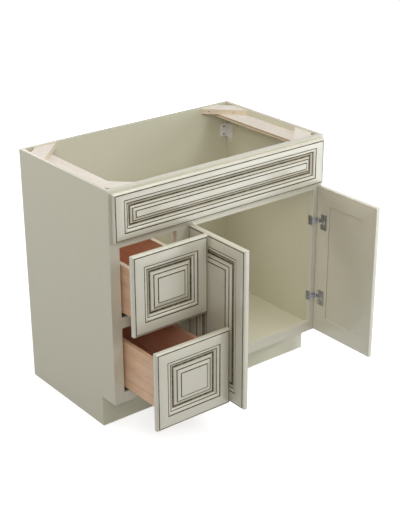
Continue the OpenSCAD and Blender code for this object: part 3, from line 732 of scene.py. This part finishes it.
def dress_case():
    # The face frame's top face is darkened as painted shade
    give(painted("painted_frame", PAINT, top=FRAME_TOP_SHADE), "left_stile", "right_stile", "mullion",
         "top_rail", "sink_rail", "drawer_rail", "bottom_rail")
    give(painted("side_panel", CASE, top=RAW_EDGE), "left_side_panel", "right_side_panel")
    give(painted("back_panel", CASE, top=BACK_TOP), "back_panel")
    give(painted("case_panel", CASE), "floor_panel", "toe_kick_board")
    give(raw_wood("block_wood", grain_along(0)), "rear_left_block", "rear_right_block",
         "front_left_block", "front_right_block")
    give(raw_wood("strip_wood", grain_along(1), "left_strip"), "left_strip", "right_strip")
    give(plastic("bracket_plastic", PLASTIC_PALE), "corner_bracket", "upper_slide_sockets",
         "lower_slide_sockets")
    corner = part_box("corner_bracket")[1]
    heads = [corner - Vector((*BRACKET_SCREW_IN, down)) * MM for down in BRACKET_SCREWS_DOWN]
    bronze = metal("screw_bronze", BRONZE, roughness=0.5)
    screws("bracket_screws", "cabinet", heads, (0, -1, 0), bronze)


def dress_drawers():
    boards = (("left", 0, 1), ("right", 0, -1), ("front", 1, 1), ("back", 1, -1))
    # The lower drawer's top edges carry painted shade from the upper drawer above
    for drawer, edge in (("upper", BOX_EDGE), ("lower", BOX_EDGE_SHADED)):
        for side, axis, inner in boards:
            name = f"{drawer}_box_{side}"
            give(drawer_wood(name, axis, inner, edge), name)
        give(drawer_bottom(), f"{drawer}_box_bottom")
        give(plastic("clip_plastic", PLASTIC_GREY), f"{drawer}_clips")


def dress_hardware():
    give(metal("slide_zinc", ZINC, roughness=0.38), "upper_case_slides", "lower_case_slides",
         "upper_middle_slides", "lower_middle_slides", "upper_drawer_slides",
         "lower_drawer_slides", "false_front_clips")
    give(metal("hinge_nickel", NICKEL, roughness=0.34), "left_door_cups", "right_door_cups",
         "left_hinge_arms", "right_hinge_arms")
    screw_hinges(metal("screw_steel", STEEL, roughness=0.42))


def camera_turn():
    """The camera's rotation, from its azimuth, how far it looks down, and its roll."""
    azimuth, down, roll = (math.radians(v) for v in (CAMERA_AZIMUTH, CAMERA_DOWN, CAMERA_ROLL))
    east, north = math.sin(azimuth), math.cos(azimuth)
    ahead = Vector((east * math.cos(down), north * math.cos(down), -math.sin(down)))
    right = Vector((north, -east, 0))
    up = Vector((east * math.sin(down), north * math.sin(down), math.cos(down)))
    turned = right * math.cos(roll) + up * math.sin(roll)
    upright = up * math.cos(roll) - right * math.sin(roll)
    return Matrix((turned, upright, -ahead)).transposed()


def add_camera():
    data = bpy.data.cameras.new("camera")
    data.lens = FOCAL_PIXELS / FRAME_PIXELS * SENSOR
    data.sensor_width = SENSOR
    data.shift_x = -HALF_PIXEL
    data.shift_y = HALF_PIXEL
    camera = add_object("camera", data)
    camera.matrix_world = Matrix.Translation(CAMERA_PLACE) @ camera_turn().to_4x4()
    bpy.context.scene.camera = camera


def add_area(name, spot, size, power, colour):
    """A soft lamp turned towards LIGHT_AIM."""
    data = bpy.data.lights.new(name, "AREA")
    data.shape = "RECTANGLE"
    data.size, data.size_y = size
    data.energy = power
    data.color = colour
    turn = (Vector(LIGHT_AIM) - Vector(spot)).to_track_quat("-Z", "Y").to_matrix().to_4x4()
    add_object(name, data).matrix_world = Matrix.Translation(spot) @ turn


def link_seen(tree, lighting, seen, output):
    """Shows one shader to the camera and in gloss, and lights the unit by another."""
    path = tree.nodes.new("ShaderNodeLightPath")
    direct = tree.nodes.new("ShaderNodeMath")
    direct.operation = "MAXIMUM"
    choose = tree.nodes.new("ShaderNodeMixShader")
    tree.links.new(path.outputs["Is Camera Ray"], direct.inputs[0])
    tree.links.new(path.outputs["Is Glossy Ray"], direct.inputs[1])
    tree.links.new(direct.outputs[0], choose.inputs[0])
    tree.links.new(lighting.outputs[0], choose.inputs[1])
    tree.links.new(seen.outputs[0], choose.inputs[2])
    tree.links.new(choose.outputs[0], output.inputs[0])


def floor_glow(tree):
    """Emission that rises with the distance from the floor's middle."""
    coordinates = tree.nodes.new("ShaderNodeTexCoord")
    distance = tree.nodes.new("ShaderNodeVectorMath")
    distance.operation = "LENGTH"
    fade = tree.nodes.new("ShaderNodeMapRange")
    set_range(fade, *GLOW_DISTANCES, *GLOW_STRENGTHS)
    glow = tree.nodes.new("ShaderNodeEmission")
    tree.links.new(coordinates.outputs["Object"], distance.inputs[0])
    tree.links.new(distance.outputs["Value"], fade.inputs["Value"])
    tree.links.new(fade.outputs["Result"], glow.inputs["Strength"])
    return glow


def diffuse(tree, colour):
    made = tree.nodes.new("ShaderNodeBsdfDiffuse")
    made.inputs["Color"].default_value = colour
    return made


def add_floor():
    """Pale floor: white to the camera where lit, grey where the unit shades it."""
    signs = ((-1, -1), (1, -1), (1, 1), (-1, 1))
    square = [(x * FLOOR_REACH, y * FLOOR_REACH, 0) for x, y in signs]
    mesh = mesh_of("floor", square, [(0, 1, 2, 3)])
    floor = add_object("floor", mesh)
    material = bpy.data.materials.new("floor")
    material.use_nodes = True
    tree = material.node_tree
    tree.nodes.clear()
    output = tree.nodes.new("ShaderNodeOutputMaterial")
    seen = tree.nodes.new("ShaderNodeAddShader")
    tree.links.new(diffuse(tree, FLOOR_SEEN).outputs[0], seen.inputs[0])
    tree.links.new(floor_glow(tree).outputs[0], seen.inputs[1])
    link_seen(tree, diffuse(tree, FLOOR_BOUNCE), seen, output)
    mesh.materials.append(material)


def background(tree, strength):
    made = tree.nodes.new("ShaderNodeBackground")
    made.inputs["Color"].default_value = WHITE
    made.inputs["Strength"].default_value = strength
    return made


def add_world():
    """A world that looks white and adds only a little light."""
    world = bpy.data.worlds.new("studio")
    bpy.context.scene.world = world
    world.use_nodes = True
    tree = world.node_tree
    tree.nodes.clear()
    output = tree.nodes.new("ShaderNodeOutputWorld")
    link_seen(tree, background(tree, WORLD_STRENGTH), background(tree, 1), output)


def light_studio():
    add_world()
    for softbox in SOFTBOXES:
        add_area(*softbox)
    add_floor()
    bpy.context.scene.view_settings.view_transform = "Standard"


dress_fronts()
dress_case()
dress_drawers()
dress_hardware()
add_camera()
light_studio()
